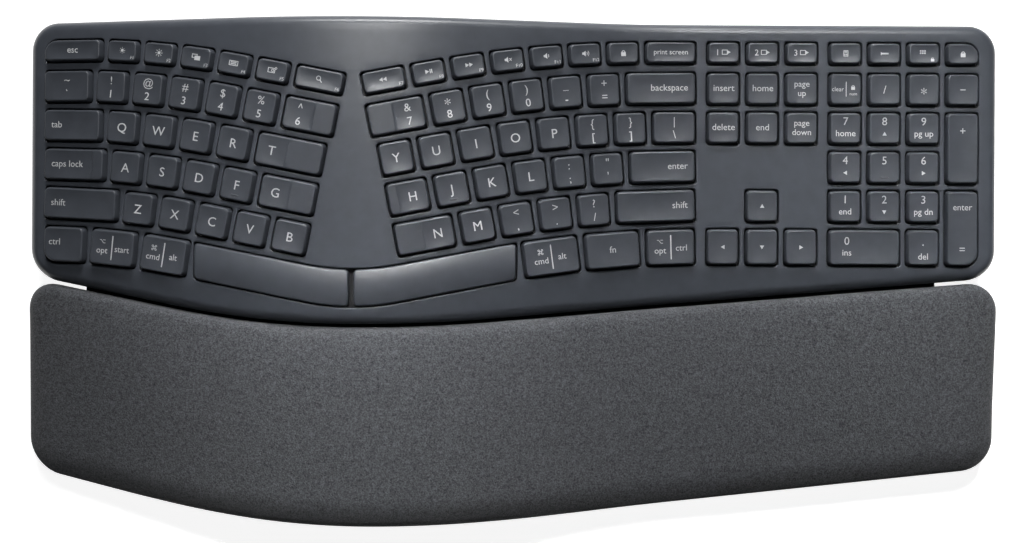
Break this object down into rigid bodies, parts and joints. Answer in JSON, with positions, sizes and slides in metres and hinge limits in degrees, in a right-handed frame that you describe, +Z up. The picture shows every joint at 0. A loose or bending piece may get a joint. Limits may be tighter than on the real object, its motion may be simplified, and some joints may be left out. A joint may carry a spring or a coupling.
{
  "type": "ergonomic split keyboard",
  "caption": "Wireless ergonomic keyboard with a split, arched key field, a number block and a joined fabric palm rest; keys press, legs fold out below.",
  "frame": {"origin": "on the desk under the middle of the footprint of case and palm rest", "axes": "+X to the typist's right, +Y away from the typist, +Z up"},
  "size_m": [0.4564, 0.2344, 0.048],
  "materials": {
    "case_plastic": "satin",
    "key_plastic": "satin",
    "cloth": "fine knit",
    "foam": "matte",
    "rubber": "matte",
    "steel": "satin",
    "film": "gloss",
    "link_plastic": "matte",
    "board": "satin",
    "cell": "satin"
  },
  "bodies": {
    "base": {"top_case": "case_plastic", "bottom_case": "case_plastic", "key_plate": "steel", "membrane": "film", "rubber_domes": "rubber", "scissor_links": "link_plastic", "stabiliser_wires": "steel", "controller_board": "board", "battery_contacts": "steel", "batteries": "cell", "palm_rest_shell": "case_plastic", "palm_rest_foam": "foam", "palm_rest_cover": "cloth", "rubber_feet": "rubber", "case_screws": "steel", "palm_rest_screws": "steel", "leg_pins": "steel"},
    "esc_key": {"esc_key": "key_plastic"},
    "left_function_keys": {"left_function_keys": "key_plastic"},
    "left_number_keys": {"left_number_keys": "key_plastic"},
    "tab_key": {"tab_key": "key_plastic"},
    "left_upper_keys": {"left_upper_keys": "key_plastic"},
    "caps_lock_key": {"caps_lock_key": "key_plastic"},
    "left_home_keys": {"left_home_keys": "key_plastic"},
    "left_shift_key": {"left_shift_key": "key_plastic"},
    "left_lower_keys": {"left_lower_keys": "key_plastic"},
    "left_modifier_keys": {"left_modifier_keys": "key_plastic"},
    "left_space_bar": {"left_space_bar": "key_plastic"},
    "right_function_keys": {"right_function_keys": "key_plastic"},
    "right_number_keys": {"right_number_keys": "key_plastic"},
    "backspace_key": {"backspace_key": "key_plastic"},
    "right_upper_keys": {"right_upper_keys": "key_plastic"},
    "right_home_keys": {"right_home_keys": "key_plastic"},
    "enter_key": {"enter_key": "key_plastic"},
    "right_lower_keys": {"right_lower_keys": "key_plastic"},
    "right_shift_key": {"right_shift_key": "key_plastic"},
    "right_modifier_keys": {"right_modifier_keys": "key_plastic"},
    "right_space_bar": {"right_space_bar": "key_plastic"},
    "device_keys": {"device_keys": "key_plastic"},
    "insert_row_keys": {"insert_row_keys": "key_plastic"},
    "delete_row_keys": {"delete_row_keys": "key_plastic"},
    "up_arrow_key": {"up_arrow_key": "key_plastic"},
    "left_arrow_key": {"left_arrow_key": "key_plastic"},
    "down_arrow_key": {"down_arrow_key": "key_plastic"},
    "right_arrow_key": {"right_arrow_key": "key_plastic"},
    "numpad_shortcut_keys": {"numpad_shortcut_keys": "key_plastic"},
    "numpad_operator_keys": {"numpad_operator_keys": "key_plastic"},
    "numpad_upper_keys": {"numpad_upper_keys": "key_plastic"},
    "numpad_middle_keys": {"numpad_middle_keys": "key_plastic"},
    "numpad_lower_keys": {"numpad_lower_keys": "key_plastic"},
    "numpad_zero_key": {"numpad_zero_key": "key_plastic"},
    "numpad_point_key": {"numpad_point_key": "key_plastic"},
    "numpad_plus_key": {"numpad_plus_key": "key_plastic"},
    "numpad_enter_key": {"numpad_enter_key": "key_plastic"},
    "left_tall_leg": {"left_tall_leg": "case_plastic"},
    "left_short_leg": {"left_short_leg": "case_plastic"},
    "right_tall_leg": {"right_tall_leg": "case_plastic"},
    "right_short_leg": {"right_short_leg": "case_plastic"},
    "battery_door": {"battery_door": "case_plastic"},
    "power_switch": {"power_switch": "rubber"}
  },
  "joints": [
    {"name": "esc_key_press", "type": "slide", "parent": "base", "child": "esc_key", "axis": [0.2079, 0, -0.9781], "range_m": [0, 0.0018], "stiffness_N_per_m": 330, "springref_m": -0.001, "deforming": ["rubber_domes", "scissor_links"]},
    {"name": "left_function_keys_press", "type": "slide", "parent": "base", "child": "left_function_keys", "axis": [0.1736, 0, -0.9848], "range_m": [0, 0.0018], "stiffness_N_per_m": 1980, "springref_m": -0.001, "deforming": ["rubber_domes", "scissor_links"]},
    {"name": "left_number_keys_press", "type": "slide", "parent": "base", "child": "left_number_keys", "axis": [0.1736, 0, -0.9848], "range_m": [0, 0.0018], "stiffness_N_per_m": 2310, "springref_m": -0.001, "deforming": ["rubber_domes", "scissor_links"]},
    {"name": "tab_key_press", "type": "slide", "parent": "base", "child": "tab_key", "axis": [0.2079, 0, -0.9781], "range_m": [0, 0.0018], "stiffness_N_per_m": 330, "springref_m": -0.001, "deforming": ["rubber_domes", "scissor_links", "stabiliser_wires"]},
    {"name": "left_upper_keys_press", "type": "slide", "parent": "base", "child": "left_upper_keys", "axis": [0.1736, 0, -0.9848], "range_m": [0, 0.0018], "stiffness_N_per_m": 1650, "springref_m": -0.001, "deforming": ["rubber_domes", "scissor_links"]},
    {"name": "caps_lock_key_press", "type": "slide", "parent": "base", "child": "caps_lock_key", "axis": [0.2079, 0, -0.9781], "range_m": [0, 0.0018], "stiffness_N_per_m": 330, "springref_m": -0.001, "deforming": ["rubber_domes", "scissor_links", "stabiliser_wires"]},
    {"name": "left_home_keys_press", "type": "slide", "parent": "base", "child": "left_home_keys", "axis": [0.1736, 0, -0.9848], "range_m": [0, 0.0018], "stiffness_N_per_m": 1650, "springref_m": -0.001, "deforming": ["rubber_domes", "scissor_links"]},
    {"name": "left_shift_key_press", "type": "slide", "parent": "base", "child": "left_shift_key", "axis": [0.2079, 0, -0.9781], "range_m": [0, 0.0018], "stiffness_N_per_m": 330, "springref_m": -0.001, "deforming": ["rubber_domes", "scissor_links", "stabiliser_wires"]},
    {"name": "left_lower_keys_press", "type": "slide", "parent": "base", "child": "left_lower_keys", "axis": [0.1736, 0, -0.9848], "range_m": [0, 0.0018], "stiffness_N_per_m": 1650, "springref_m": -0.001, "deforming": ["rubber_domes", "scissor_links"]},
    {"name": "left_modifier_keys_press", "type": "slide", "parent": "base", "child": "left_modifier_keys", "axis": [0.2079, 0, -0.9781], "range_m": [0, 0.0018], "stiffness_N_per_m": 990, "springref_m": -0.001, "deforming": ["rubber_domes", "scissor_links"]},
    {"name": "left_space_bar_press", "type": "slide", "parent": "base", "child": "left_space_bar", "axis": [0.1045, 0, -0.9945], "range_m": [0, 0.0018], "stiffness_N_per_m": 330, "springref_m": -0.001, "deforming": ["rubber_domes"]},
    {"name": "right_function_keys_press", "type": "slide", "parent": "base", "child": "right_function_keys", "axis": [-0.1305, 0, -0.9914], "range_m": [0, 0.0018], "stiffness_N_per_m": 2640, "springref_m": -0.001, "deforming": ["rubber_domes", "scissor_links"]},
    {"name": "right_number_keys_press", "type": "slide", "parent": "base", "child": "right_number_keys", "axis": [-0.1564, 0, -0.9877], "range_m": [0, 0.0018], "stiffness_N_per_m": 1980, "springref_m": -0.001, "deforming": ["rubber_domes", "scissor_links"]},
    {"name": "backspace_key_press", "type": "slide", "parent": "base", "child": "backspace_key", "axis": [-0.0436, 0, -0.999], "range_m": [0, 0.0018], "stiffness_N_per_m": 330, "springref_m": -0.001, "deforming": ["rubber_domes", "scissor_links", "stabiliser_wires"]},
    {"name": "right_upper_keys_press", "type": "slide", "parent": "base", "child": "right_upper_keys", "axis": [-0.1305, 0, -0.9914], "range_m": [0, 0.0018], "stiffness_N_per_m": 2640, "springref_m": -0.001, "deforming": ["rubber_domes", "scissor_links"]},
    {"name": "right_home_keys_press", "type": "slide", "parent": "base", "child": "right_home_keys", "axis": [-0.1564, 0, -0.9877], "range_m": [0, 0.0018], "stiffness_N_per_m": 1980, "springref_m": -0.001, "deforming": ["rubber_domes", "scissor_links"]},
    {"name": "enter_key_press", "type": "slide", "parent": "base", "child": "enter_key", "axis": [-0.0384, 0, -0.9993], "range_m": [0, 0.0018], "stiffness_N_per_m": 330, "springref_m": -0.001, "deforming": ["rubber_domes", "scissor_links", "stabiliser_wires"]},
    {"name": "right_lower_keys_press", "type": "slide", "parent": "base", "child": "right_lower_keys", "axis": [-0.165, 0, -0.9863], "range_m": [0, 0.0018], "stiffness_N_per_m": 1650, "springref_m": -0.001, "deforming": ["rubber_domes", "scissor_links"]},
    {"name": "right_shift_key_press", "type": "slide", "parent": "base", "child": "right_shift_key", "axis": [-0.0541, 0, -0.9985], "range_m": [0, 0.0018], "stiffness_N_per_m": 330, "springref_m": -0.001, "deforming": ["rubber_domes", "scissor_links", "stabiliser_wires"]},
    {"name": "right_modifier_keys_press", "type": "slide", "parent": "base", "child": "right_modifier_keys", "axis": [-0.1132, 0, -0.9936], "range_m": [0, 0.0018], "stiffness_N_per_m": 990, "springref_m": -0.001, "deforming": ["rubber_domes", "scissor_links"]},
    {"name": "right_space_bar_press", "type": "slide", "parent": "base", "child": "right_space_bar", "axis": [-0.1045, 0, -0.9945], "range_m": [0, 0.0018], "stiffness_N_per_m": 330, "springref_m": -0.001, "deforming": ["rubber_domes"]},
    {"name": "device_keys_press", "type": "slide", "parent": "base", "child": "device_keys", "axis": [0, 0, -1], "range_m": [0, 0.0018], "stiffness_N_per_m": 990, "springref_m": -0.001, "deforming": ["rubber_domes", "scissor_links"]},
    {"name": "insert_row_keys_press", "type": "slide", "parent": "base", "child": "insert_row_keys", "axis": [0, 0, -1], "range_m": [0, 0.0018], "stiffness_N_per_m": 990, "springref_m": -0.001, "deforming": ["rubber_domes", "scissor_links"]},
    {"name": "delete_row_keys_press", "type": "slide", "parent": "base", "child": "delete_row_keys", "axis": [0, 0, -1], "range_m": [0, 0.0018], "stiffness_N_per_m": 990, "springref_m": -0.001, "deforming": ["rubber_domes", "scissor_links"]},
    {"name": "up_arrow_key_press", "type": "slide", "parent": "base", "child": "up_arrow_key", "axis": [0, 0, -1], "range_m": [0, 0.0018], "stiffness_N_per_m": 330, "springref_m": -0.001, "deforming": ["rubber_domes", "scissor_links"]},
    {"name": "left_arrow_key_press", "type": "slide", "parent": "base", "child": "left_arrow_key", "axis": [0, 0, -1], "range_m": [0, 0.0018], "stiffness_N_per_m": 330, "springref_m": -0.001, "deforming": ["rubber_domes", "scissor_links"]},
    {"name": "down_arrow_key_press", "type": "slide", "parent": "base", "child": "down_arrow_key", "axis": [0, 0, -1], "range_m": [0, 0.0018], "stiffness_N_per_m": 330, "springref_m": -0.001, "deforming": ["rubber_domes", "scissor_links"]},
    {"name": "right_arrow_key_press", "type": "slide", "parent": "base", "child": "right_arrow_key", "axis": [0, 0, -1], "range_m": [0, 0.0018], "stiffness_N_per_m": 330, "springref_m": -0.001, "deforming": ["rubber_domes", "scissor_links"]},
    {"name": "numpad_shortcut_keys_press", "type": "slide", "parent": "base", "child": "numpad_shortcut_keys", "axis": [0, 0, -1], "range_m": [0, 0.0018], "stiffness_N_per_m": 1320, "springref_m": -0.001, "deforming": ["rubber_domes", "scissor_links"]},
    {"name": "numpad_operator_keys_press", "type": "slide", "parent": "base", "child": "numpad_operator_keys", "axis": [0, 0, -1], "range_m": [0, 0.0018], "stiffness_N_per_m": 1320, "springref_m": -0.001, "deforming": ["rubber_domes", "scissor_links"]},
    {"name": "numpad_upper_keys_press", "type": "slide", "parent": "base", "child": "numpad_upper_keys", "axis": [0, 0, -1], "range_m": [0, 0.0018], "stiffness_N_per_m": 990, "springref_m": -0.001, "deforming": ["rubber_domes", "scissor_links"]},
    {"name": "numpad_middle_keys_press", "type": "slide", "parent": "base", "child": "numpad_middle_keys", "axis": [0, 0, -1], "range_m": [0, 0.0018], "stiffness_N_per_m": 990, "springref_m": -0.001, "deforming": ["rubber_domes", "scissor_links"]},
    {"name": "numpad_lower_keys_press", "type": "slide", "parent": "base", "child": "numpad_lower_keys", "axis": [0, 0, -1], "range_m": [0, 0.0018], "stiffness_N_per_m": 990, "springref_m": -0.001, "deforming": ["rubber_domes", "scissor_links"]},
    {"name": "numpad_zero_key_press", "type": "slide", "parent": "base", "child": "numpad_zero_key", "axis": [0, 0, -1], "range_m": [0, 0.0018], "stiffness_N_per_m": 330, "springref_m": -0.001, "deforming": ["rubber_domes", "scissor_links", "stabiliser_wires"]},
    {"name": "numpad_point_key_press", "type": "slide", "parent": "base", "child": "numpad_point_key", "axis": [0, 0, -1], "range_m": [0, 0.0018], "stiffness_N_per_m": 330, "springref_m": -0.001, "deforming": ["rubber_domes", "scissor_links"]},
    {"name": "numpad_plus_key_press", "type": "slide", "parent": "base", "child": "numpad_plus_key", "axis": [0, 0, -1], "range_m": [0, 0.0018], "stiffness_N_per_m": 330, "springref_m": -0.001, "deforming": ["rubber_domes", "scissor_links", "stabiliser_wires"]},
    {"name": "numpad_enter_key_press", "type": "slide", "parent": "base", "child": "numpad_enter_key", "axis": [0, 0, -1], "range_m": [0, 0.0018], "stiffness_N_per_m": 330, "springref_m": -0.001, "deforming": ["rubber_domes", "scissor_links", "stabiliser_wires"]},
    {"name": "left_tall_leg_fold", "type": "hinge", "parent": "base", "child": "left_tall_leg", "pos_m": [-0.15221, -0.09236, 0.0034], "axis": [-1, 0, 0], "range_deg": [0, 95]},
    {"name": "left_short_leg_fold", "type": "hinge", "parent": "base", "child": "left_short_leg", "pos_m": [-0.11821, -0.09236, 0.0034], "axis": [-1, 0, 0], "range_deg": [0, 95]},
    {"name": "right_tall_leg_fold", "type": "hinge", "parent": "base", "child": "right_tall_leg", "pos_m": [0.13221, -0.08523, 0.0034], "axis": [-1, 0, 0], "range_deg": [0, 95]},
    {"name": "right_short_leg_fold", "type": "hinge", "parent": "base", "child": "right_short_leg", "pos_m": [0.09821, -0.08523, 0.0034], "axis": [-1, 0, 0], "range_deg": [0, 95]},
    {"name": "battery_door_swing", "type": "hinge", "parent": "base", "child": "battery_door", "pos_m": [-0.07158, 0.0814, 0.0023], "axis": [1, 0, 0], "range_deg": [0, 95]},
    {"name": "power_switch_slide", "type": "slide", "parent": "base", "child": "power_switch", "axis": [1, 0, 0], "range_m": [0, 0.003]}
  ]
}
